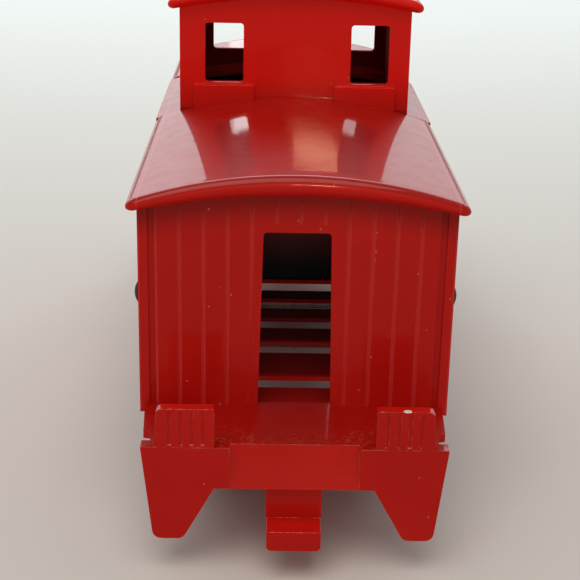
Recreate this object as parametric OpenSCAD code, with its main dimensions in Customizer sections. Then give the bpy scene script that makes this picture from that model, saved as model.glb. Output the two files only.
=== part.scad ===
// Small scale model of a cupola caboose on two four-wheel trucks.
// +Y runs along the car from its front end (-Y) to its rear end, +X is the car's right, and
// z = 0 is the track under the wheel flanges, in the middle of the car.

/* [Car body] */
// Width over the side walls
body_w = 32; // [31.5:0.1:32.5]
// Length between the outer faces of the two end walls
body_l = 82.5; // [82:0.5:90]
// Height of the floor's top above the track
floor_z = 13.5; // [13.3:0.1:14.5]
// Thickness of the side walls
side_t = 1.0; // [0.8:0.1:1.2]
// Thickness of the end walls
end_t = 1.2; // [1:0.1:1.6]
// Distance from one board joint to the next
board_pitch = 2.43; // [2:0.01:3]
// Depth of the joint between two boards
joint_depth = 0.15; // [0.1:0.05:0.4]

/* [Doors and windows] */
// Width of a doorway at its foot
door_w = 7.6; // [6:0.1:8]
// Height of a doorway's head above the floor
door_h = 18.9; // [16:0.1:19]
// Width of a cabin window
window_w = 6; // [4.5:0.1:7]
// Height of a cabin window
window_h = 7; // [5:0.1:8]
// Height of the cabin windows' sills above the floor
window_sill = 9.5; // [8:0.1:11]
// Width of the plain casing round each doorway and cabin window
casing = 0.9; // [0.6:0.1:1.2]

/* [Roof] */
// Half the width of the main roof
roof_half_w = 17.1; // [16.6:0.1:17.5]
// Height of the main roof's crown above the floor
roof_h = 24.95; // [24.5:0.05:25.5]
// How far the main roof stands out past each end wall
roof_overhang = 1.3; // [0.8:0.1:2]
// Thickness of a roof at its crown
roof_t = 2.1; // [1.5:0.1:2.2]
// Radius of a roof's top surface
roof_r = 53; // [45:0.1:60]
// Radius of a roof's flatter underside
ceiling_r = 76; // [54:0.1:80]

/* [Cupola] */
// Width of the cupola
cupola_w = 28.2; // [26:0.1:29]
// Length of the cupola
cupola_l = 25; // [22:0.5:28]
// Distance from the middle of the car to the middle of the cupola, towards the rear
cupola_shift = 8; // [0:0.5:10]
// Height of the cupola roof's crown above the floor
cupola_h = 39.1; // [38:0.1:40]
// Thickness of the cupola's walls
cupola_t = 1.1; // [0.9:0.1:1.4]
// Half the width of the cupola's roof
cupola_roof_half_w = 15.5; // [15.2:0.1:16]

/* [Underframe and ends] */
// Thickness of the floor plate
plate_t = 0.85; // [0.8:0.05:1]
// Length of each end platform, from the end wall to the back of the end beam
platform_l = 8.4; // [7.5:0.1:9.5]
// Thickness of the end beam and its steps
beam_t = 1.55; // [1.3:0.05:1.8]
// Height of the ribbed end rails
rail_h = 4.1; // [3.5:0.1:5]
// Distance from one rib of an end rail to the next
rib_pitch = 1.1; // [1:0.05:1.4]
// How far the coupler tongue's face stands out past the end wall
tongue_reach = 11.9; // [11:0.1:13]

/* [Trucks] */
// Distance from an end wall to the centre of its truck
truck_inset = 21; // [20.9:0.1:21.1]
// Distance between a truck's two axles
wheelbase = 18; // [17:0.1:18.5]
// Diameter of a wheel's tread
tread_d = 9.6; // [9:0.1:10]
// Depth of a wheel's flange below the tread
flange_depth = 0.9; // [0.6:0.1:1]
// Distance between the backs of the two wheels on an axle
back_to_back = 14.4; // [14.2:0.1:14.6]
// Radius of a kingpin's shank
kingpin_r = 0.7; // [0.6:0.05:0.75]

/* [Hidden] */

$fn = 64;
FRONT = -1;
REAR = 1;
LEFT = -1;
RIGHT = 1;
OUTER = -1;
INNER = 1;
BIG = 200;

ENAMEL = [0.68, 0.05, 0.05];
BROWN = [0.24, 0.10, 0.08];
STEEL = [0.60, 0.60, 0.62];
WHEEL_GREY = [0.30, 0.30, 0.32];
TRUCK_BLACK = [0.09, 0.09, 0.10];

// Places derived from the driving sizes
side_x = body_w / 2;
inner_x = side_x - side_t;
end_y = body_l / 2;
plate_z = floor_z - plate_t;
ceiling_h = roof_h - roof_t;
cupola_x = cupola_w / 2;
cupola_front_y = cupola_shift - cupola_l / 2;
cupola_rear_y = cupola_shift + cupola_l / 2;
beam_back_y = end_y + platform_l;
beam_front_y = beam_back_y + beam_t;
truck_y = end_y - truck_inset;
flange_r = tread_d / 2 + flange_depth;
axle_z = flange_r;

// Board joints
joint_half_w = 0.22;
joint_offset = 0.3;
corner_recess = 0.35;
corner_recess_w = 0.7;

// Doorways and windows
door_taper = 0.4;
corner_r = 0.4;
window_centres = [11.5, 28];
cupola_window = [4.7, 7.2];
cupola_window_x = [-8.65, 9.2];
cupola_window_sill = 26.7;
cupola_side_window = [3.7, 6.6];
cupola_side_window_y = 2.55;
sill_block = [7.3, 1.0, 26.45];
sill_block_x = 8.65;
cupola_overhang = 1.2;
saddle_drop = 0.12;

// Floor slots: [distance from the front end wall, length along the car]
slots = [[4.7, 3.7], [14.4, 4.1], [22.1, 4.2], [28.8, 4.2], [35.3, 5.0]];
slot_half_w = 9;

// Edge of the front platform: [set in from the wall's face, share of the platform's length]
platform_edge = [[0.5, 0], [0.9, 0.74], [1.6, 0.765], [1.8, 1]];

// Fasteners
post = 3.4;
post_h = 8;
screw_r = 0.7;
screw_l = 6;
screw_head = [1.4, 0.7];
screw_slot = [0.3, 0.3];
rivet_r = 0.6;
rivet_head = [1.1, 0.5];
rivet_x = 10.2;
lug = [4, 3, 1.1];
blind_depth = 0.5;

// Steps, beam and tongue, with heights below the floor
step_top_x = 15.1;
step_out_x = 13.95;
step_in_x = 11.0;
step_drop = 10.05;
step_r = 0.9;
beam_drop = 4.45;
beam_edge_x = 7.9;
panel_half_w = 6.4;
panel_recess = 1.05;
tab_half_w = 2.8;
tab_front = 9.0;
tab_root = 0.8;
tongue_r = 0.5;
tongue_half_w = 2.68;
tongue_top = 8.1;
tongue_drop = 10.2;

// End rails and grab irons
rail_t = 1.25;
rail_in_x = 7.85;
rail_out_x = 13.8;
rail_lean = 0.3;
rail_radii = [0, 0, 0.6, 0.2];
rib_depth = 0.15;
rib_gap = 0.35;
rib_margin = 0.25;
grab_wire_r = 0.26;
grab_r = 3.2;
grab_set_in = 2.85;
grab_y = 2.6;
grab_h = 11.4;
grab_lean = 25;

// Trucks
running = 0.06;
truck_gap = 0.1;
bolster_t = 0.55;
bolster_neck = [10.4, 2.4];
bolster_arm = 5.4;
bolster_flare = 1.5;
frame_in_x = 10.3;
frame_t = 1.7;
plate_w = 1.3;
frame_top_y = 2.7;
frame_foot_y = 3.0;
frame_foot_z = 3.0;
pedestal = [1.2, 3.2, 2.2];
frame_hole = [[2.6, 8.4], [wheelbase / 2 - 2.4, 7.2], [wheelbase / 2 - 2.4, 5.4], [2.6, 4.6]];
frame_hole_r = 0.3;
box_size = [2.2, 3.2, 4.0];
box_drop = 1.9;
spring_y = 1.1;
spring_x = 0.95;
spring_r = 0.9;
spring_l = 4.1;
spring_seat_z = 4.6;
spring_seat = [2.0, 4.8, 1.2];
spring_cap = [2.0, 4.8, 0.9];
axle_r = 1.0;
axle_play = 0.2;
journal_r = 0.6;
journal_l = 0.9;
journal_hole = 1.1;
kingpin_head = [1.0, 0.25];
kingpin_seat = 0.6;
bolster_top = plate_z - truck_gap;
bolster_z = bolster_top - bolster_t;
tread_w = 1.9;
flange_w = 0.8;
rim = 0.9;
hub_r = 2.1;
web_recess = 0.7;

function unit(v) = v / norm(v);

// Points of the arc that rounds the corner p between its neighbours a and b
function fillet(a, p, b, r, steps = 5) =
    let (u = unit(a - p))
    let (v = unit(b - p))
    let (half = acos(u * v) / 2)
    let (c = p + unit(u + v) * r / sin(half))
    let (from = p + u * r / tan(half) - c)
    let (to = p + v * r / tan(half) - c)
    let (a0 = atan2(from.y, from.x))
    let (turn = (atan2(to.y, to.x) - a0 + 540) % 360 - 180)
    [for (i = [0:steps]) c + r * [cos(a0 + turn * i / steps), sin(a0 + turn * i / steps)]];

// An outline with each corner rounded by its own radius, or left sharp where that is 0
function rounded(pts, radii) =
    let (n = len(pts))
    [for (i = [0:n - 1])
        each (radii[i] > 0 ? fillet(pts[(i + n - 1) % n], pts[i], pts[(i + 1) % n], radii[i]) : [pts[i]])];

function both_sides(half) =
    concat(half, [for (i = [len(half) - 1:-1:0]) [-half[i].x, half[i].y]]);

module at_end(end) {
    mirror([0, end == REAR ? 1 : 0, 0]) children();
}

module at_side(side) {
    mirror([side == LEFT ? 1 : 0, 0, 0]) children();
}

// Everything under an arched surface that runs along the car
module under_arch(crown_h, r) {
    translate([0, 0, floor_z + crown_h - r])
        rotate([90, 0, 0])
            cylinder(r = r, h = BIG, center = true, $fn = 256);
}

// An arched roof from y0 to y1, with its crown crown_h and its underside's crown under_h above the floor
module roof_shell(y0, y1, half_w, crown_h, under_h) {
    difference() {
        intersection() {
            under_arch(crown_h, roof_r);
            translate([-half_w, y0, floor_z]) cube([2 * half_w, y1 - y0, BIG]);
        }
        under_arch(under_h, ceiling_r);
    }
}

// A flat figure drawn in x and z, made solid from y0 to y1
module upright(y0, y1) {
    translate([0, y1, floor_z])
        rotate([90, 0, 0])
            linear_extrude(y1 - y0) children();
}

// The plan of a boarded wall along x from 0 to l, with its boards' joints cut into the face y = 0
module boarded_plan(l, t, first) {
    joints = [for (x = [first:board_pitch:l - joint_half_w]) x];
    face = [for (x = joints) each [[x - joint_half_w, 0], [x, joint_depth], [x + joint_half_w, 0]]];
    polygon(concat([[0, 0]], face, [[l, 0], [l, t], [0, t]]));
}

// A doorway's outline, grown by the width of its casing, from the height foot upwards
module door_outline(grow, foot) {
    half = door_w / 2 + grow;
    polygon(rounded([[-half, foot], [half, foot],
                     [half - door_taper, door_h + grow], [door_taper - half, door_h + grow]],
                    [0, 0, corner_r, corner_r]));
}

module window_outline(size, sill, grow = 0) {
    half = size.x / 2 + grow;
    polygon(rounded([[-half, sill - grow], [half, sill - grow],
                     [half, sill + size.y + grow], [-half, sill + size.y + grow]],
                    [corner_r, corner_r, corner_r, corner_r]));
}

// A side wall, open at its windows
module side_wall(side) {
    color(ENAMEL) at_side(side)
        intersection() {
            difference() {
                union() {
                    translate([side_x, -end_y, plate_z])
                        rotate([0, 0, 90])
                            linear_extrude(BIG) boarded_plan(body_l, side_t, board_pitch / 2);
                    side_windows(inner_x, side_x, casing);
                }
                side_windows(inner_x - 1, side_x + 1, 0);
            }
            under_arch(ceiling_h, ceiling_r);
            translate([0, -end_y, 0]) cube([BIG, body_l, BIG]);
        }
}

// The cabin windows' outlines through one side wall, from x0 to x1
module side_windows(x0, x1, grow) {
    for (y = window_centres)
        for (end = [FRONT, REAR])
            translate([x0, end * y, floor_z])
                rotate([90, 0, 90])
                    linear_extrude(x1 - x0) window_outline([window_w, window_h], window_sill, grow);
}

// An end wall with its open doorway and the two posts that take the screws
module end_wall(end) {
    joint_0 = joint_offset - floor((joint_offset + inner_x) / board_pitch) * board_pitch;
    color(ENAMEL) at_end(end) difference() {
        union() {
            intersection() {
                union() {
                    translate([-inner_x, -end_y, floor_z])
                        linear_extrude(BIG) boarded_plan(2 * inner_x, end_t, joint_0 + inner_x);
                    upright(-end_y, -end_y + end_t) door_outline(casing, 0);
                }
                under_arch(ceiling_h, ceiling_r);
            }
            for (side = [LEFT, RIGHT])
                at_side(side)
                    translate([inner_x - post, -end_y + end_t, floor_z]) cube([post, post, post_h]);
        }
        for (side = [LEFT, RIGHT])
            at_side(side)
                translate([inner_x - corner_recess_w, -end_y - 1, floor_z - 1])
                    cube([side_t + 1, 1 + corner_recess, BIG]);
        upright(-end_y - 1, -end_y + end_t + 1) door_outline(0, -1);
        screw_places() translate([0, 0, floor_z - 1]) cylinder(r = screw_r, h = screw_l + 1);
    }
}

// The two screw axes at the front end
module screw_places() {
    for (side = [LEFT, RIGHT])
        translate([side * (inner_x - post / 2), -end_y + end_t + post / 2, 0]) children();
}

module main_roof(end) {
    y0 = end == FRONT ? -end_y - roof_overhang : cupola_rear_y;
    y1 = end == FRONT ? cupola_front_y : end_y + roof_overhang;
    color(ENAMEL) roof_shell(y0, y1, roof_half_w, roof_h, ceiling_h);
}

// The cupola's walls with the strip of main roof that they stand on
module cupola_body() {
    color(ENAMEL) difference() {
        union() {
            roof_shell(cupola_front_y, cupola_rear_y, roof_half_w, roof_h - saddle_drop, ceiling_h);
            difference() {
                intersection() {
                    translate([-cupola_x, cupola_front_y, floor_z]) cube([cupola_w, cupola_l, BIG]);
                    under_arch(cupola_h - roof_t, ceiling_r);
                }
                under_arch(ceiling_h, ceiling_r);
            }
            sill_blocks();
        }
        translate([cupola_t - cupola_x, cupola_front_y + cupola_t, floor_z])
            cube([cupola_w - 2 * cupola_t, cupola_l - 2 * cupola_t, BIG]);
        for (x = cupola_window_x)
            translate([x, 0, 0])
                upright(cupola_front_y - 2, cupola_rear_y + 2)
                    window_outline(cupola_window, cupola_window_sill);
        for (end = [FRONT, REAR])
            translate([0, cupola_shift + end * cupola_side_window_y, 0])
                rotate([0, 0, 90])
                    upright(-cupola_x - 1, cupola_x + 1)
                        window_outline(cupola_side_window, cupola_window_sill);
    }
}

// The blocks under the cupola's end windows, which stand on the main roof
module sill_blocks() {
    difference() {
        for (side = [LEFT, RIGHT])
            for (y = [cupola_front_y - sill_block.y, cupola_rear_y])
                translate([side * sill_block_x - sill_block.x / 2, y, floor_z]) cube(sill_block);
        under_arch(roof_h, roof_r);
    }
}

module cupola_roof() {
    color(ENAMEL)
        roof_shell(cupola_front_y - cupola_overhang, cupola_rear_y + cupola_overhang,
                   cupola_roof_half_w, cupola_h, cupola_h - roof_t);
}

// Four bowed wire grab irons, one near each corner of the side walls
module grab_irons() {
    color(BROWN)
        for (side = [LEFT, RIGHT])
            for (end = [FRONT, REAR])
                at_side(side) at_end(end) grab_iron();
}

module grab_iron() {
    intersection() {
        translate([side_x - grab_set_in, -end_y + grab_y, floor_z + grab_h])
            rotate([grab_lean, 0, 0])
                rotate([90, 0, 0])
                    rotate_extrude() translate([grab_r, 0]) circle(r = grab_wire_r, $fn = 24);
        translate([side_x - side_t / 2, -end_y, 0]) cube([side_t * 2, BIG, BIG]);
    }
}

// The slotted floor plate with a platform at each end
module underframe() {
    platform = [for (p = platform_edge) [side_x - p.x, end_y + p.y * platform_l]];
    quarter = concat([[inner_x, end_y]], platform);
    half = concat([for (i = [len(quarter) - 1:-1:0]) [quarter[i].x, -quarter[i].y]], quarter);
    color(ENAMEL) difference() {
        translate([0, 0, plate_z]) linear_extrude(plate_t) polygon(both_sides(half));
        for (s = slots)
            translate([-slot_half_w, -end_y + s[0], plate_z - 1])
                cube([2 * slot_half_w, s[1], plate_t + 2]);
        for (end = [FRONT, REAR]) at_end(end) {
            translate([0, -truck_y, plate_z - 1]) cylinder(r = kingpin_r, h = 1 + kingpin_seat);
            screw_places() translate([0, 0, plate_z - 1]) cylinder(r = screw_r, h = plate_t + 2);
            rivet_places() translate([0, 0, plate_z - 1]) cylinder(r = rivet_r, h = 1 + blind_depth);
        }
    }
}

// Four pan-head screws that hold the floor plate to the end walls' posts
module base_screws() {
    color(STEEL)
        for (end = [FRONT, REAR]) at_end(end) screw_places() {
            translate([0, 0, plate_z]) cylinder(r = screw_r, h = plate_t + screw_l - 1);
            translate([0, 0, plate_z - screw_head[1]])
                difference() {
                    cylinder(r = screw_head[0], h = screw_head[1]);
                    translate([-BIG / 2, -screw_slot.x / 2, -1])
                        cube([BIG, screw_slot.x, 1 + screw_slot.y]);
                }
        }
}

// The two rivet axes at the front end, through the beam's lugs
module rivet_places() {
    for (side = [LEFT, RIGHT])
        translate([side * rivet_x, lug.y / 2 - beam_back_y, 0]) children();
}

// The end beam with its two steps and the coupler tongue, in one casting
module end_beam(end) {
    half = [[step_top_x, 0], [step_out_x, -step_drop], [step_in_x, -step_drop],
            [beam_edge_x, -beam_drop]];
    radii = [0, step_r, step_r, 0];
    color(ENAMEL) at_end(end) difference() {
        union() {
            difference() {
                upright(-beam_front_y, -beam_back_y)
                    polygon(rounded(both_sides(half), concat(radii, [0, step_r, step_r, 0])));
                panel_cut();
            }
            tongue();
            for (side = [LEFT, RIGHT])
                translate([side * rivet_x - lug.x / 2, -beam_back_y - beam_t / 2, plate_z - lug.z])
                    cube([lug.x, lug.y + beam_t / 2, lug.z]);
        }
        rivet_places() translate([0, 0, plate_z - lug.z - 1]) cylinder(r = rivet_r, h = lug.z + 2);
    }
}

// The wedge that sets the beam's middle panel back at its top edge
module panel_cut() {
    back = -beam_front_y + panel_recess;
    translate([-panel_half_w, 0, floor_z])
        rotate([90, 0, 90])
            linear_extrude(2 * panel_half_w)
                polygon([[back, 1], [back, 0], [-beam_front_y, -beam_drop],
                         [-beam_front_y - 1, -beam_drop], [-beam_front_y - 1, 1]]);
}

// The tab that hangs from the beam and the block on its end
module tongue() {
    translate([-tab_half_w, -end_y - tab_front, floor_z - tongue_top])
        cube([2 * tab_half_w, tab_front - platform_l + tab_root, tongue_top - 1]);
    upright(-end_y - tongue_reach, -beam_back_y)
        polygon(rounded([[-tongue_half_w, -tongue_top], [-tongue_half_w, -tongue_drop],
                         [tongue_half_w, -tongue_drop], [tongue_half_w, -tongue_top]],
                        [0, tongue_r, tongue_r, 0]));
}

// Rivets through the beams' lugs, blind in the platforms from below
module end_beam_rivets() {
    color(STEEL)
        for (end = [FRONT, REAR]) at_end(end) rivet_places() {
            translate([0, 0, plate_z - lug.z]) cylinder(r = rivet_r, h = lug.z + blind_depth);
            translate([0, 0, plate_z - lug.z - rivet_head[1]])
                cylinder(r = rivet_head[0], h = rivet_head[1]);
        }
}

// A low end rail with upright ribs, on top of the end beam
module end_rail(end, side) {
    outline = rounded([[rail_in_x, 0], [rail_out_x, 0],
                       [rail_out_x - rail_lean, rail_h], [rail_in_x, rail_h]], rail_radii);
    grooves = [for (x = [rail_in_x + rib_pitch:rib_pitch:rail_out_x - rib_pitch / 2]) x];
    color(ENAMEL) at_side(side) at_end(end) difference() {
        upright(-beam_front_y, -beam_front_y + rail_t) polygon(outline);
        for (x = grooves)
            translate([x - rib_gap / 2, -beam_front_y - 1, floor_z + rib_margin])
                cube([rib_gap, 1 + rib_depth, rail_h - 2 * rib_margin]);
    }
}

// The pin that a truck turns on, pressed into the floor plate from below
module kingpin(end) {
    color(STEEL) at_end(end) translate([0, -truck_y, 0]) {
        translate([0, 0, bolster_z - truck_gap])
            cylinder(r = kingpin_r, h = plate_z + kingpin_seat - bolster_z + truck_gap);
        translate([0, 0, bolster_z - truck_gap - kingpin_head[1]])
            cylinder(r = kingpin_head[0], h = kingpin_head[1]);
    }
}

// The stamped plate that joins a truck's two side frames
module truck_bolster(end) {
    frame_out_x = frame_in_x + frame_t;
    arm_in_x = bolster_neck.x / 2;
    front_half = [[arm_in_x, bolster_neck.y / 2], [arm_in_x + bolster_flare, bolster_arm / 2],
                  [frame_out_x, bolster_arm / 2]];
    half = concat(front_half, [for (i = [2:-1:0]) [front_half[i].x, -front_half[i].y]]);
    color(TRUCK_BLACK) at_end(end) translate([0, -truck_y, bolster_z]) difference() {
        linear_extrude(bolster_t) polygon(both_sides(half));
        translate([0, 0, -1]) cylinder(r = kingpin_r + running, h = bolster_t + 2);
    }
}

// A truck side frame with arch bars, two journal boxes and a spring pack
module truck_frame(end, side) {
    a = wheelbase / 2;
    color(TRUCK_BLACK) at_end(end) at_side(side) translate([frame_in_x, -truck_y, 0]) difference() {
        union() {
            frame_plate(a);
            for (y = [-a, a])
                translate([0, y - box_size.y / 2, axle_z - box_drop]) cube(box_size);
            for (y = [-spring_y, spring_y])
                translate([spring_x, y, spring_seat_z]) cylinder(r = spring_r, h = spring_l, $fn = 24);
            translate([0, -spring_seat.y / 2, spring_seat_z - spring_seat.z]) cube(spring_seat);
            translate([0, -spring_cap.y / 2, spring_seat_z + spring_l]) cube(spring_cap);
        }
        for (y = [-a, a])
            translate([-1, y, axle_z])
                rotate([0, 90, 0]) cylinder(r = journal_r + running, h = 1 + journal_hole);
    }
}

// The flat part of a side frame, drawn in y and z and open either side of the springs
module frame_plate(a) {
    half = [[frame_top_y, bolster_z], [a + pedestal.x, axle_z + pedestal.y],
            [a + pedestal.x, axle_z - pedestal.z], [a - pedestal.x, axle_z - pedestal.z],
            [frame_foot_y, frame_foot_z]];
    rotate([90, 0, 90]) linear_extrude(plate_w) difference() {
        polygon(both_sides(half));
        for (k = [0, 1])
            mirror([k, 0]) polygon(rounded(frame_hole, [for (p = frame_hole) frame_hole_r]));
    }
}

// Where an axle stands: which end's truck, and whether it is the outer or the inner axle
module at_axle(end, which) {
    at_end(end) translate([0, -truck_y + which * wheelbase / 2, axle_z]) rotate([0, 90, 0]) children();
}

module axle(end, which) {
    color(STEEL) at_axle(end, which) {
        cylinder(r = axle_r, h = 2 * (frame_in_x - axle_play), center = true);
        cylinder(r = journal_r, h = 2 * (frame_in_x + journal_l), center = true);
    }
}

// A flanged wheel with a dished web, pressed on its axle
module wheel(end, which, side) {
    tread_r = tread_d / 2;
    w = flange_w + tread_w;
    profile = [[axle_r, 0], [hub_r, 0], [hub_r + 0.4, web_recess], [tread_r - rim - 0.3, web_recess],
               [tread_r - rim, 0], [flange_r - 0.3, 0], [flange_r, 0.3], [flange_r - 0.1, 0.55],
               [tread_r + 0.1, flange_w], [tread_r, flange_w + 0.2], [tread_r - 0.1, w - 0.2],
               [tread_r - 0.3, w], [tread_r - rim, w], [tread_r - rim - 0.3, w - web_recess],
               [hub_r + 0.4, w - web_recess], [hub_r, w], [axle_r, w]];
    color(WHEEL_GREY) at_side(side) at_axle(end, which) translate([0, 0, back_to_back / 2])
        rotate_extrude() polygon(profile);
}

side_wall(LEFT);  // left_side_wall
side_wall(RIGHT);  // right_side_wall
end_wall(FRONT);  // front_end_wall
end_wall(REAR);  // rear_end_wall
main_roof(FRONT);  // front_roof
main_roof(REAR);  // rear_roof
cupola_body();
cupola_roof();
grab_irons();
underframe();
base_screws();
end_beam(FRONT);  // front_end_beam
end_beam(REAR);  // rear_end_beam
end_beam_rivets();
end_rail(FRONT, LEFT);  // front_left_rail
end_rail(FRONT, RIGHT);  // front_right_rail
end_rail(REAR, LEFT);  // rear_left_rail
end_rail(REAR, RIGHT);  // rear_right_rail
kingpin(FRONT);  // front_kingpin
truck_bolster(FRONT);  // front_truck_bolster
truck_frame(FRONT, LEFT);  // front_truck_left_frame
truck_frame(FRONT, RIGHT);  // front_truck_right_frame
axle(FRONT, OUTER);  // front_outer_axle
wheel(FRONT, OUTER, LEFT);  // front_outer_left_wheel
wheel(FRONT, OUTER, RIGHT);  // front_outer_right_wheel
axle(FRONT, INNER);  // front_inner_axle
wheel(FRONT, INNER, LEFT);  // front_inner_left_wheel
wheel(FRONT, INNER, RIGHT);  // front_inner_right_wheel
kingpin(REAR);  // rear_kingpin
truck_bolster(REAR);  // rear_truck_bolster
truck_frame(REAR, LEFT);  // rear_truck_left_frame
truck_frame(REAR, RIGHT);  // rear_truck_right_frame
axle(REAR, OUTER);  // rear_outer_axle
wheel(REAR, OUTER, LEFT);  // rear_outer_left_wheel
wheel(REAR, OUTER, RIGHT);  // rear_outer_right_wheel
axle(REAR, INNER);  // rear_inner_axle
wheel(REAR, INNER, LEFT);  // rear_inner_left_wheel
wheel(REAR, INNER, RIGHT);  // rear_inner_right_wheel
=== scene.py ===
"""A small red enamelled model caboose on two swivelling trucks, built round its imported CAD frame.

Lengths are in metres in the frame's own axes: +Y along the car from its front end, +X to its right, +Z up.
MM turns the millimetres that the sizes are given in into metres.
"""

import math

import bmesh
import bpy
from mathutils import Euler, Matrix, Vector


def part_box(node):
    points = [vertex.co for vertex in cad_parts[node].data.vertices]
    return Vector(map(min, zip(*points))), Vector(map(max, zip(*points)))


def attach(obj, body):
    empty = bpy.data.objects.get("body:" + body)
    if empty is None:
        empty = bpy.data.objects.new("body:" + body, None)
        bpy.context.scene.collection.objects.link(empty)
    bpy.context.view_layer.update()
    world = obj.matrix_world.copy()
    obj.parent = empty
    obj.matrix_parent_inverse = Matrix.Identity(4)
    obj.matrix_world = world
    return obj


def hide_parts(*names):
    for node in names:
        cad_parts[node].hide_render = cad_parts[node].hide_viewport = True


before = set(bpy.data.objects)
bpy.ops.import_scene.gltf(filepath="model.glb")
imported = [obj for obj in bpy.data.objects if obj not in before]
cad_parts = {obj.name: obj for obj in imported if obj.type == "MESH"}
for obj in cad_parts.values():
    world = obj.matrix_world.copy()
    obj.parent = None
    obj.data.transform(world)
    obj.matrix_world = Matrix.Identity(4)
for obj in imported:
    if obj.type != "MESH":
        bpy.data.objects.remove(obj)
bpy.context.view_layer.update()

MM = 0.001
SIDES = {"left": -1, "right": 1}
BODY = "car_body"

# ---------------------------------------------------------------- measures
# The frame gives these, and the ones after them are sizes of the CAD's own that its boxes don't show

WALL_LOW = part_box("front_end_wall")[0]
CUPOLA_FRONT_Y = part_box("front_roof")[1].y
CUPOLA_REAR_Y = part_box("rear_roof")[0].y
FLOOR_Z = WALL_LOW.z
END_Y = -WALL_LOW.y
END_WALL_Y = END_Y / MM
SIDE_WALL_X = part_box("right_side_wall")[1].x / MM

# Radii of the roofs' top and underside, and their thickness at the crown
ROOF_TOP_R = 53 * MM
ROOF_UNDER_R = 76 * MM
ROOF_T = 2.1 * MM

# The truck castings' spring posts, and their journal boxes' outer faces and height
SPRING_POST_X = 11.25 * MM
SPRING_POST_Y = 1.1 * MM
SPRING_LOW, SPRING_HIGH = 4.85 * MM, 8.45 * MM
BOX_FACE_X = 12.5 * MM
BOX_Z = 5.75 * MM
HALF_WHEELBASE = 9 * MM

# Where the paper starts to whiten behind the car, and where it is white. The whitening is painted light:
# darker paper in front for painted shade, whiter paper behind for painted window light.
FLOOR_NEAR_MM, FLOOR_FAR_MM = -80, 340


# ---------------------------------------------------------------- camera, floor and light

def add_camera():
    """A camera in front of the car's front end, looking down along it."""
    pitch, yaw, roll = math.radians(19.9), math.radians(1.053), math.radians(1.258)
    data = bpy.data.cameras.new("camera")
    data.lens = 82.91
    data.sensor_width = 36
    data.clip_start, data.clip_end = 0.01, 10
    camera = bpy.data.objects.new("camera", data)
    bpy.context.scene.collection.objects.link(camera)
    turn = Euler((math.pi / 2 - pitch, 0, -yaw)).to_matrix() @ Matrix.Rotation(roll, 3, "Z")
    camera.matrix_world = Matrix.Translation(
        (-2.99 * MM, -END_Y - 126.85 * MM, FLOOR_Z + 58.79 * MM)) @ turn.to_4x4()
    bpy.context.scene.camera = camera


def add_floor():
    """A flat sheet of pale paper, painted darker in front and whiter towards the back as painted light and
    shade.
    """
    g = Graph("paper")
    # Painted light: the paper's colour darkens in front of the car for shade and whitens behind it for the
    # window light.
    across = g.ramp(g.place()[1], FLOOR_NEAR_MM, FLOOR_FAR_MM)
    g.set(g.shader, "Base Color", g.mix(across, colour(0.68, 0.66, 0.64), colour(0.95, 1.0, 1.0)))
    g.set(g.shader, "Roughness", 0.75)
    bpy.ops.mesh.primitive_plane_add(size=6)
    floor = bpy.context.object
    floor.name = "floor"
    floor.data.materials.append(g.material)


def add_area(name, at, look_at, size, power, tint):
    """A rectangular light of that size and power, facing look_at."""
    data = bpy.data.lights.new(name, "AREA")
    data.shape = "RECTANGLE"
    data.size, data.size_y = size
    data.energy = power
    data.color = tint
    light = bpy.data.objects.new(name, data)
    bpy.context.scene.collection.objects.link(light)
    light.location = at
    light.rotation_euler = (Vector(look_at) - Vector(at)).to_track_quat("-Z", "Y").to_euler()
    return light


def add_lights():
    """Windows behind the car with the sky over them, a soft ceiling, and a warm lamp far in front."""
    world = bpy.data.worlds.new("studio")
    bpy.context.scene.world = world
    world.use_nodes = True
    background = world.node_tree.nodes["Background"]
    background.inputs["Color"].default_value = (1.0, 0.93, 0.86, 1)
    background.inputs["Strength"].default_value = 0.335
    middle = (0, 0, 25 * MM)
    cupola_foot = (0, CUPOLA_FRONT_Y, 44 * MM)
    add_area("window_left", (-0.40, 0.90, 0.32), middle, (0.84, 0.42), 1.15, (0.95, 0.96, 1.0))
    add_area("window_middle", (0.0, 0.91, 0.34), middle, (0.18, 0.42), 0.28, (0.95, 0.97, 1.0))
    add_area("window_right", (0.35, 0.92, 0.30), middle, (0.70, 0.36), 0.65, (0.95, 0.96, 1.0))
    add_area("sky", (0.0, 0.74, 0.54), middle, (1.4, 0.25), 2.5, (0.74, 0.93, 1.0))
    add_area("ceiling", (-0.12, -0.40, 1.0), middle, (0.9, 0.9), 5.6, (1.0, 0.90, 0.80))
    lamp = add_area("lamp", (57 * MM, -END_Y - 963 * MM, 292 * MM), cupola_foot, (82 * MM, 25 * MM), 2.3,
                    (1.0, 0.58, 0.34))
    # The lamp is there for its reflection in the roof. The ceiling stands for the light it gives.
    lamp.visible_diffuse = False


# ---------------------------------------------------------------- materials

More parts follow.
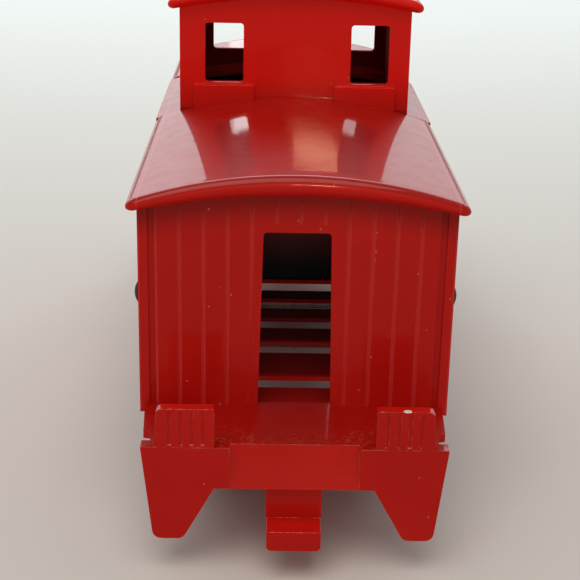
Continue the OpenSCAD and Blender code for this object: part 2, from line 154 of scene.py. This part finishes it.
class Graph:
    """A material's node graph, built one node at a time."""

    def __init__(self, name):
        self.material = bpy.data.materials.new(name)
        self.material.use_nodes = True
        self.tree = self.material.node_tree
        self.shader = self.tree.nodes["Principled BSDF"]
        place = self.add("ShaderNodeTexCoord").outputs["Object"]
        self.mm = self.add("ShaderNodeVectorMath", {0: place, 3: 1 / MM}, operation="SCALE").outputs[0]

    def add(self, kind, inputs=None, **settings):
        node = self.tree.nodes.new(kind)
        for key, value in settings.items():
            setattr(node, key, value)
        for key, value in (inputs or {}).items():
            self.set(node, key, value)
        return node

    def set(self, node, key, value):
        if isinstance(value, bpy.types.NodeSocket):
            self.tree.links.new(value, node.inputs[key])
        else:
            node.inputs[key].default_value = value

    def noise(self, per_mm, detail=2.0, roughness=0.5):
        return self.add("ShaderNodeTexNoise", {"Vector": self.mm, "Scale": per_mm, "Detail": detail,
                                               "Roughness": roughness}).outputs["Fac"]

    def ramp(self, value, low, high, to_low=0.0, to_high=1.0):
        """value, mapped smoothly from low..high to to_low..to_high."""
        ends = {"Value": value, "From Min": low, "From Max": high, "To Min": to_low, "To Max": to_high}
        return self.add("ShaderNodeMapRange", ends, interpolation_type="SMOOTHSTEP").outputs[0]

    def math(self, operation, a, b=0.0):
        return self.add("ShaderNodeMath", {0: a, 1: b}, operation=operation).outputs[0]

    def mix(self, factor, a, b):
        """A colour between a and b."""
        node = self.add("ShaderNodeMix", {"Factor": factor}, data_type="RGBA")
        self.set(node, "A", a)
        self.set(node, "B", b)
        return node.outputs[2]

    def spots(self, per_mm, radius, share):
        """1 inside scattered round spots of about that radius in cell widths, in that share of the cells."""
        cells = self.add("ShaderNodeTexVoronoi", {"Vector": self.mm, "Scale": per_mm})
        draw = self.add("ShaderNodeSeparateColor", {0: cells.outputs["Color"]}).outputs[0]
        chosen = self.less(draw, share)
        inside = self.ramp(cells.outputs["Distance"], radius * 0.4, radius, 1.0, 0.0)
        return self.math("MULTIPLY", chosen, inside)

    def bump(self, height, depth_mm, normal=None):
        node = self.add("ShaderNodeBump", {"Height": height, "Distance": depth_mm * MM, "Strength": 1.0})
        if normal is not None:
            self.set(node, "Normal", normal)
        return node.outputs[0]

    def attribute(self, name):
        return self.add("ShaderNodeAttribute", attribute_name=name).outputs["Fac"]

    def place(self):
        """The point's x, y and z in millimetres."""
        return self.add("ShaderNodeSeparateXYZ", {0: self.mm}).outputs[:]

    def facing_up(self):
        normal = self.add("ShaderNodeTexCoord").outputs["Normal"]
        return self.add("ShaderNodeSeparateXYZ", {0: normal}).outputs[2]

    def less(self, a, b):
        """1 where a is less than b."""
        return self.math("LESS_THAN", a, b)

    def between(self, value, low, high):
        return self.both(self.less(low, value), self.less(value, high))

    def both(self, *masks):
        """1 where every mask is 1."""
        product = masks[0]
        for mask in masks[1:]:
            product = self.math("MULTIPLY", product, mask)
        return product

    def layer(self, base, mask, share, paint):
        """base, covered by that share of paint where mask is 1."""
        return self.mix(self.math("MULTIPLY", mask, share), base, paint)

    def chip(self, centre, radii):
        """1 inside a ragged spot about a point, in millimetres."""
        offset = self.add("ShaderNodeVectorMath", {0: self.mm, 1: centre}, operation="SUBTRACT").outputs[0]
        scaled = self.add("ShaderNodeVectorMath", {0: offset, 1: radii}, operation="DIVIDE").outputs[0]
        reach = self.add("ShaderNodeVectorMath", {0: scaled}, operation="LENGTH").outputs[1]
        ragged = self.math("ADD", reach, self.math("MULTIPLY", self.noise(3.0, 2), 0.8))
        return self.less(ragged, 1.35)


def colour(r, g, b):
    return (r, g, b, 1)


# Colours, from the walls' two random tones to the specks in the gloss.
# The cupola, roof, platform, indoor, joint, under-lip and edge colours carry painted light and shade.
WALL_RED, WALL_RED_LIGHT = colour(0.53, 0.006, 0.003), colour(0.59, 0.009, 0.005)
# Painted light: a brighter copy of the wall red, for the cupola.
CUPOLA_LIT_RED = colour(0.84, 0.008, 0.004)
# Painted shade: a darker copy of the red, for the main roofs' tops.
ROOF_SHADED_RED = colour(0.42, 0.005, 0.003)
# Painted shade: a darker copy of the red, for the platforms' tops.
PLATFORM_SHADED_RED = colour(0.34, 0.004, 0.002)
# Painted shade indoors: a dark red for the cabin's floor and the cupola's inside, and near black for the
# cabin's walls and ceiling.
INDOOR_SHADED_RED = colour(0.30, 0.004, 0.003)
CABIN_SHADE_BLACK = colour(0.010, 0.001, 0.001)
# Painted highlight: a light pink for the board joints, where their grooves catch the light.
JOINT_HIGHLIGHT_PINK = colour(0.80, 0.07, 0.07)
# Painted shadow: a dark red for the walls just under the roof's lip.
LIP_SHADE_RED = colour(0.22, 0.003, 0.002)
# Edges: paint worn thin, made lighter pink, partly wear and partly painted highlight.
EDGE_WEAR_AND_HIGHLIGHT = colour(0.84, 0.30, 0.25)
SPECK_PINK = colour(0.66, 0.28, 0.22)
DUST = colour(0.50, 0.27, 0.14)
CHIP_WHITE = colour(0.86, 0.80, 0.70)

# Heights above the track, in millimetres. The arched ones are measured at the roof's crown.
FLOOR_BAND = (13.0, 13.6)
PLATE_TOP = 13.2
CABIN_ARCH = 37.0
LOOKOUT_ARCH = (38.6, 50.85)
ROOF_BAND = (34.0, 38.7)
# The painted shadow under the roof's lip fades over this band of heights.
LIP_SHADE_FADES = (32.6, 36.0)
CUPOLA_BRIGHTENS = (36.0, 42.0)
JOINT_TOP = 36.8

# Where the joints between boards lie below the walls' faces, and where the end walls' boards stop
JOINT_BAND = (0.17, 0.02)
CORNER_X = 15.1

# How far the dull paint and its painted shade reach indoors: across the cabin, along it short of the end
# walls' faces, and across the cupola, and along it short of the main roofs' ends
CABIN_X = 15.3
CABIN_SHORT = 0.9
LOOKOUT_X = 13.9
LOOKOUT_SHORT = 0.15

# The chipped spot on the front right rail, in millimetres
CHIP_AT = (10.8, -END_WALL_Y - 9.75, 17.62)
CHIP_RADII = (0.44, 0.35, 0.12)


def heights(g):
    """The height above the track, and that height carried along the ceiling's arch to the crown."""
    x, _, z = g.place()
    arch = g.math("ADD", z, g.math("MULTIPLY", g.math("MULTIPLY", x, x), MM / (2 * ROOF_UNDER_R)))
    return z, arch


def board_joints(g, across, along, z):
    """1 in the joints between the boards of the end walls and side walls."""
    deep, shallow = JOINT_BAND
    on_end = g.both(g.between(along, END_WALL_Y - deep, END_WALL_Y - shallow), g.less(across, CORNER_X))
    on_side = g.between(across, SIDE_WALL_X - deep, SIDE_WALL_X - shallow)
    return g.both(g.math("MAXIMUM", on_end, on_side), g.between(z, FLOOR_BAND[0], JOINT_TOP))


def open_enamel(g, across, along, specks):
    """The enamel's colour outside the cabin and the cupola, layer by layer, with painted light and shade
    among the layers.
    """
    up = g.facing_up()
    z, arch = heights(g)
    base = g.mix(g.ramp(g.noise(0.09, 3), 0.3, 0.7), WALL_RED, WALL_RED_LIGHT)
    # Painted light: upwards from the roof's level the red brightens to the cupola's lit copy.
    base = g.mix(g.ramp(z, *CUPOLA_BRIGHTENS), base, CUPOLA_LIT_RED)
    # Painted shade: the main roofs' upward faces take the darker copy, set against the strong light from
    # above.
    base = g.mix(g.both(g.less(0.4, up), g.between(z, *ROOF_BAND)), base, ROOF_SHADED_RED)
    # Painted highlight: the board joints turn lighter pink, where their grooves catch the light.
    base = g.layer(base, board_joints(g, across, along, z), 0.38, JOINT_HIGHLIGHT_PINK)
    # Painted shadow: the walls darken just under the roof's lip, where its shadow falls.
    on_wall = g.both(g.less(g.math("ABSOLUTE", up), 0.3), g.less(along, END_WALL_Y + 0.1))
    lip_shade = g.both(on_wall, g.ramp(arch, *LIP_SHADE_FADES), g.less(z, CABIN_ARCH))
    base = g.layer(base, lip_shade, 0.66, LIP_SHADE_RED)
    # Rounded edges turn lighter pink in noisy patches. That is wear, and it is stronger on upward edges as a
    # painted highlight from the light above.
    edge = g.both(g.attribute("edge"), g.ramp(g.noise(2.2, 4, 0.6), 0.46, 0.60))
    base = g.mix(g.both(edge, g.ramp(up, 0.05, 0.5, 0.18, 0.75)), base, EDGE_WEAR_AND_HIGHLIGHT)
    base = g.layer(base, specks, 0.55, SPECK_PINK)
    on_platform = g.both(g.less(0.6, up), g.between(z, *FLOOR_BAND))
    dusty = g.both(on_platform, g.ramp(g.noise(3.0, 4, 0.7), 0.50, 0.68))
    dusty = g.both(dusty, g.ramp(along, END_WALL_Y + 4.0, END_WALL_Y + 8.0))
    # Painted shade: the platforms' upward faces take the darker copy, set against the strong light from
    # above.
    base = g.layer(base, on_platform, 0.85, PLATFORM_SHADED_RED)
    base = g.layer(base, dusty, 0.30, DUST)
    return g.mix(g.chip(CHIP_AT, CHIP_RADII), base, CHIP_WHITE)


def red_enamel():
    """Glossy red enamel: dust and lumps under the gloss, edges worn thin with a painted highlight, painted
    light and shade in lighter and darker copies of the red, and dull paint with painted shade indoors.
    """
    g = Graph("red_enamel")
    x, y, _ = g.place()
    across, along = g.math("ABSOLUTE", x), g.math("ABSOLUTE", y)
    z, arch = heights(g)
    specks = g.spots(0.9, 0.13, 0.11)

    cabin = g.both(g.less(across, CABIN_X), g.less(along, END_WALL_Y - CABIN_SHORT))
    cabin = g.both(cabin, g.less(PLATE_TOP, z), g.less(arch, CABIN_ARCH))
    lookout = g.both(g.less(across, LOOKOUT_X), g.between(arch, *LOOKOUT_ARCH),
                     g.between(y, CUPOLA_FRONT_Y / MM + LOOKOUT_SHORT, CUPOLA_REAR_Y / MM - LOOKOUT_SHORT))
    dull = g.math("MAXIMUM", cabin, lookout)
    # Painted shade indoors: near black cabin walls and ceiling, a dark red floor going near black towards the
    # car's middle, dark red in the cupola.
    shaded_floor = g.mix(g.ramp(along, 2.0, 24.0), CABIN_SHADE_BLACK, INDOOR_SHADED_RED)
    base = g.mix(cabin, open_enamel(g, across, along, specks),
                 g.mix(g.less(z, FLOOR_BAND[1]), CABIN_SHADE_BLACK, shaded_floor))
    g.set(g.shader, "Base Color", g.mix(lookout, base, INDOOR_SHADED_RED))

    rough = g.ramp(g.noise(0.5, 3), 0.3, 0.7, 0.34, 0.44)
    g.set(g.shader, "Roughness", g.math("MAXIMUM", rough, g.math("MULTIPLY", dull, 0.9)))
    peel = g.bump(g.noise(0.45, 2), 0.004)
    grain = g.bump(g.noise(6.0, 2), 0.0012, peel)
    lumps = g.bump(g.spots(0.42, 0.16, 0.22), 0.020, grain)
    grit = g.bump(specks, 0.015, lumps)
    g.set(g.shader, "Normal", grit)
    g.set(g.shader, "Coat Normal", grit)
    coat = g.ramp(g.facing_up(), 0.15, 0.75, 0.16, 0.66)
    g.set(g.shader, "Coat Weight", g.math("MULTIPLY", g.math("SUBTRACT", 1.0, dull), coat))
    g.set(g.shader, "Specular IOR Level", 0.08)
    g.set(g.shader, "Coat IOR", 1.45)
    g.set(g.shader, "Coat Roughness", 0.045)
    return g.material


def brown_wire():
    g = Graph("brown_wire")
    brown = g.mix(g.noise(2.0, 3), colour(0.050, 0.014, 0.010), colour(0.10, 0.030, 0.020))
    g.set(g.shader, "Base Color", brown)
    g.set(g.shader, "Roughness", 0.5)
    g.set(g.shader, "Normal", g.bump(g.noise(4.0, 3), 0.02))
    return g.material


def steel(name, dark, light, roughness):
    """Turned or plated steel, with fine scratches and a faint stain."""
    g = Graph(name)
    stain = g.ramp(g.noise(0.8, 4, 0.6), 0.35, 0.7)
    g.set(g.shader, "Base Color", g.mix(stain, dark, light))
    g.set(g.shader, "Metallic", 1.0)
    g.set(g.shader, "Roughness", g.ramp(g.noise(6.0, 3), 0.3, 0.7, roughness, roughness + 0.15))
    g.set(g.shader, "Normal", g.bump(g.noise(9.0, 2), 0.006))
    return g.material


def black_paint():
    g = Graph("black_frame")
    edge = g.math("MULTIPLY", g.attribute("edge"), g.ramp(g.noise(2.0, 4), 0.45, 0.65))
    base = g.mix(g.noise(0.7, 3), colour(0.014, 0.014, 0.016), colour(0.028, 0.027, 0.027))
    g.set(g.shader, "Base Color", g.mix(g.math("MULTIPLY", edge, 0.5), base, colour(0.12, 0.11, 0.10)))
    g.set(g.shader, "Roughness", g.ramp(g.noise(1.5, 3), 0.3, 0.7, 0.38, 0.55))
    g.set(g.shader, "Normal", g.bump(g.noise(3.0, 3), 0.015))
    return g.material


# ---------------------------------------------------------------- pieces

# Edges that turn by more than this are rounded
SHARP_DEG = 25


def new_piece(name, bm, material, slot, body, *nodes):
    """Turns bm into a piece that rides on a body and stands for its CAD nodes."""
    bmesh.ops.recalc_face_normals(bm, faces=bm.faces)
    mesh = bpy.data.meshes.new(name)
    bm.to_mesh(mesh)
    bm.free()
    for polygon in mesh.polygons:
        polygon.use_smooth = True
    mesh.materials.append(material)
    piece = bpy.data.objects.new(name, mesh)
    bpy.context.scene.collection.objects.link(piece)
    normals = piece.modifiers.new("normals", "WEIGHTED_NORMAL")
    normals.weight = 90
    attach(piece, body)
    if nodes:
        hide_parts(*nodes)
    return piece


def softened(node, edge_mm, segments=3):
    """A CAD node's shape with its sharp edges rounded. The rounded edges carry the attribute edge = 1."""
    bm = bmesh.new()
    bm.from_mesh(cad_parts[node].data)
    for layer in list(bm.loops.layers.uv):
        bm.loops.layers.uv.remove(layer)
    bmesh.ops.remove_doubles(bm, verts=bm.verts, dist=0.002 * MM)
    bmesh.ops.dissolve_limit(bm, angle_limit=math.radians(0.5), verts=bm.verts, edges=bm.edges)
    mark = bm.loops.layers.float.new("edge")
    sharp = [e for e in bm.edges if len(e.link_faces) == 2 and e.calc_face_angle(0) > math.radians(SHARP_DEG)]
    made = bmesh.ops.bevel(bm, geom=sharp, offset=edge_mm * MM, segments=segments, profile=0.5,
                           affect="EDGES", clamp_overlap=True)
    for face in made["faces"]:
        for loop in face.loops:
            loop[mark] = 1.0
    return bm


def roof_shape(low, high, roll_x, roll_front, roll_rear, columns=56, rows=24, turns=9, corner=6):
    """An arched roof that fills the box low..high, with a round roll of those depths along its edges."""
    bm = bmesh.new()
    crown = high.z
    top_centre, under_centre = crown - ROOF_TOP_R, crown - ROOF_T - ROOF_UNDER_R
    half = high.x

    def surfaces(x):
        top = top_centre + math.sqrt(ROOF_TOP_R ** 2 - x * x)
        under = under_centre + math.sqrt(ROOF_UNDER_R ** 2 - x * x)
        return (top + under) / 2, (top - under) / 2

    def point(x, y, s):
        middle, half_t = surfaces(x)
        return (x, y, middle + half_t * s)

    xs = [(-1 + 2 * i / columns) * (half - roll_x) for i in range(columns + 1)]
    y0, y1 = low.y + roll_front, high.y - roll_rear
    ys = [y0 + (y1 - y0) * j / rows for j in range(rows + 1)]
    top = [[bm.verts.new(point(x, y, 1)) for y in ys] for x in xs]
    under = [[bm.verts.new(point(x, y, -1)) for y in ys] for x in xs]
    for grid in (top, under):
        for i in range(columns):
            for j in range(rows):
                bm.faces.new((grid[i][j], grid[i + 1][j], grid[i + 1][j + 1], grid[i][j + 1]))
    border = [(i, 0, -90) for i in range(columns + 1)] + [(columns, j, 0) for j in range(rows + 1)]
    border += [(i, rows, 90) for i in range(columns, -1, -1)] + [(0, j, 180) for j in range(rows, -1, -1)]
    ribs = []
    for k, (i, j, facing) in enumerate(border):
        ribs.append((i, j, facing))
        after = border[(k + 1) % len(border)]
        if after[:2] == (i, j):
            ribs += [(i, j, facing + 90 * n / corner) for n in range(1, corner)]
    rolls = []
    for i, j, facing in ribs:
        a = math.radians(facing)
        roll_y = roll_front if math.sin(a) < 0 else roll_rear
        roll = [top[i][j]]
        for n in range(1, turns):
            t = math.pi / 2 - math.pi * n / turns
            x = xs[i] + math.cos(a) * roll_x * math.cos(t)
            y = ys[j] + math.sin(a) * roll_y * math.cos(t)
            roll.append(bm.verts.new(point(x, y, math.sin(t))))
        rolls.append(roll + [under[i][j]])
    for one, two in zip(rolls, rolls[1:] + rolls[:1]):
        for a, b, c, d in zip(one, one[1:], two[1:], two):
            corners = [v for n, v in enumerate((a, b, c, d)) if v not in (a, b, c, d)[:n]]
            if len(corners) > 2:
                bm.faces.new(corners)
    bm.loops.layers.float.new("edge")
    return bm


def build_roofs(red):
    """The three roofs, rolled at their free edges and nearly square where they meet the cupola."""
    roll = 0.95 * MM
    seam = 0.12 * MM
    rolls = {"front_roof": (roll, seam), "rear_roof": (seam, roll), "cupola_roof": (roll, roll)}
    for node, (front, rear) in rolls.items():
        shape = roof_shape(*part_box(node), roll, front, rear)
        new_piece(node + "_shell", shape, red, "red_enamel", BODY, node)


def build_body(red):
    nodes = ["left_side_wall", "right_side_wall", "front_end_wall", "rear_end_wall", "cupola_body",
             "underframe", "front_end_beam", "rear_end_beam", "front_left_rail", "front_right_rail",
             "rear_left_rail", "rear_right_rail"]
    edges = {"cupola_body": 0.16, "underframe": 0.15, "front_end_beam": 0.22, "rear_end_beam": 0.22}
    for node in nodes:
        bm = softened(node, edges.get(node, 0.10))
        new_piece(node + "_shell", bm, red, "red_enamel", BODY, node)


def build_hardware(brown, plated):
    new_piece("grab_iron_wires", softened("grab_irons", 0.03), brown, "brown_wire", BODY, "grab_irons")
    for node in ("base_screws", "end_beam_rivets", "front_kingpin", "rear_kingpin"):
        new_piece(node + "_turned", softened(node, 0.08), plated, "plated_steel", BODY, node)


def tube(bm, points, radius, sides=7):
    """A closed round tube along points, none of which lies straight above the last."""
    rings = []
    for k, at in enumerate(points):
        along = (points[min(k + 1, len(points) - 1)] - points[max(k - 1, 0)]).normalized()
        across = along.cross(Vector((0, 0, 1))).normalized()
        over = across.cross(along)
        turns = [2 * math.pi * n / sides for n in range(sides)]
        rings.append([bm.verts.new(at + radius * (across * math.cos(t) + over * math.sin(t))) for t in turns])
    for one, two in zip(rings, rings[1:]):
        for n in range(sides):
            after = (n + 1) % sides
            bm.faces.new((one[n], one[after], two[after], two[n]))
    bm.faces.new(rings[0])
    bm.faces.new(rings[-1])


def truck_springs(centre_y, side):
    """Coils round the two spring posts of a side frame."""
    bm = bmesh.new()
    turns, steps, radius, wire = 5, 14, 0.88 * MM, 0.17 * MM
    for y in (-SPRING_POST_Y, SPRING_POST_Y):
        points = []
        for k in range(turns * steps + 1):
            a = 2 * math.pi * k / steps
            rise = (SPRING_HIGH - SPRING_LOW) * k / (turns * steps)
            points.append(Vector((side * SPRING_POST_X + radius * math.cos(a),
                                  centre_y + y + radius * math.sin(a), SPRING_LOW + rise)))
        tube(bm, points, wire)
    return bm


def journal_lids(centre_y, side):
    """A sloping lid with its hinge on each journal box of a side frame."""
    bm = bmesh.new()
    lid_t, lid_w, lid_h, lid_edge = 0.3 * MM, 2.3 * MM, 2.5 * MM, 0.09 * MM
    slope = Matrix.Rotation(side * math.radians(3), 4, "Y")
    hinge_up, hinge_r = 1.35 * MM, 0.22 * MM
    latch_out, latch_down, latch_l, latch_r = 0.1 * MM, 0.7 * MM, 0.22 * MM, 0.28 * MM
    for y in (-HALF_WHEELBASE, HALF_WHEELBASE):
        middle = Vector((side * (BOX_FACE_X + lid_t / 2), centre_y + y, BOX_Z))
        size = Matrix.Diagonal((lid_t, lid_w, lid_h, 1))
        made = bmesh.ops.create_cube(bm, size=1, matrix=Matrix.Translation(middle) @ slope @ size)
        edges = {e for v in made["verts"] for e in v.link_edges}
        bmesh.ops.bevel(bm, geom=list(edges), offset=lid_edge, segments=2, profile=0.5, affect="EDGES")
        hinge = middle + Vector((0, 0, hinge_up))
        tube(bm, [hinge + Vector((0, reach * MM, 0)) for reach in (-0.8, -0.3, 0.3, 0.8)], hinge_r, 10)
        latch = middle + Vector((side * latch_out, 0, -latch_down))
        tube(bm, [latch, latch + Vector((side * latch_l, 0, 0))], latch_r, 12)
    return bm


def build_trucks(black, plated, wheel_steel):
    for end in ("front", "rear"):
        low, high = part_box(f"{end}_truck_bolster")
        centre_y = (low.y + high.y) / 2
        for side, facing in SIDES.items():
            new_piece(f"{end}_{side}_spring_coils", truck_springs(centre_y, facing), black, "black_frame",
                      f"{end}_truck")
            new_piece(f"{end}_{side}_journal_lids", journal_lids(centre_y, facing), black, "black_frame",
                      f"{end}_truck")
        for part in ("bolster", "left_frame", "right_frame"):
            node = f"{end}_truck_{part}"
            new_piece(node + "_cast", softened(node, 0.08), black, "black_frame", f"{end}_truck", node)
        for which in ("outer", "inner"):
            body = f"{end}_{which}_wheelset"
            node = f"{end}_{which}_axle"
            new_piece(node + "_turned", softened(node, 0.08), plated, "plated_steel", body, node)
            for side in SIDES:
                node = f"{end}_{which}_{side}_wheel"
                new_piece(node + "_turned", softened(node, 0.06, 2), wheel_steel, "wheel_steel", body, node)


add_camera()
add_floor()
add_lights()
bpy.context.scene.view_settings.view_transform = "Standard"

RED = red_enamel()
PLATED = steel("plated_steel", colour(0.40, 0.40, 0.41), colour(0.60, 0.60, 0.60), 0.25)
WHEEL = steel("wheel_steel", colour(0.12, 0.12, 0.125), colour(0.26, 0.26, 0.26), 0.30)
BLACK = black_paint()
build_roofs(RED)
build_body(RED)
build_hardware(brown_wire(), PLATED)
build_trucks(BLACK, PLATED, WHEEL)
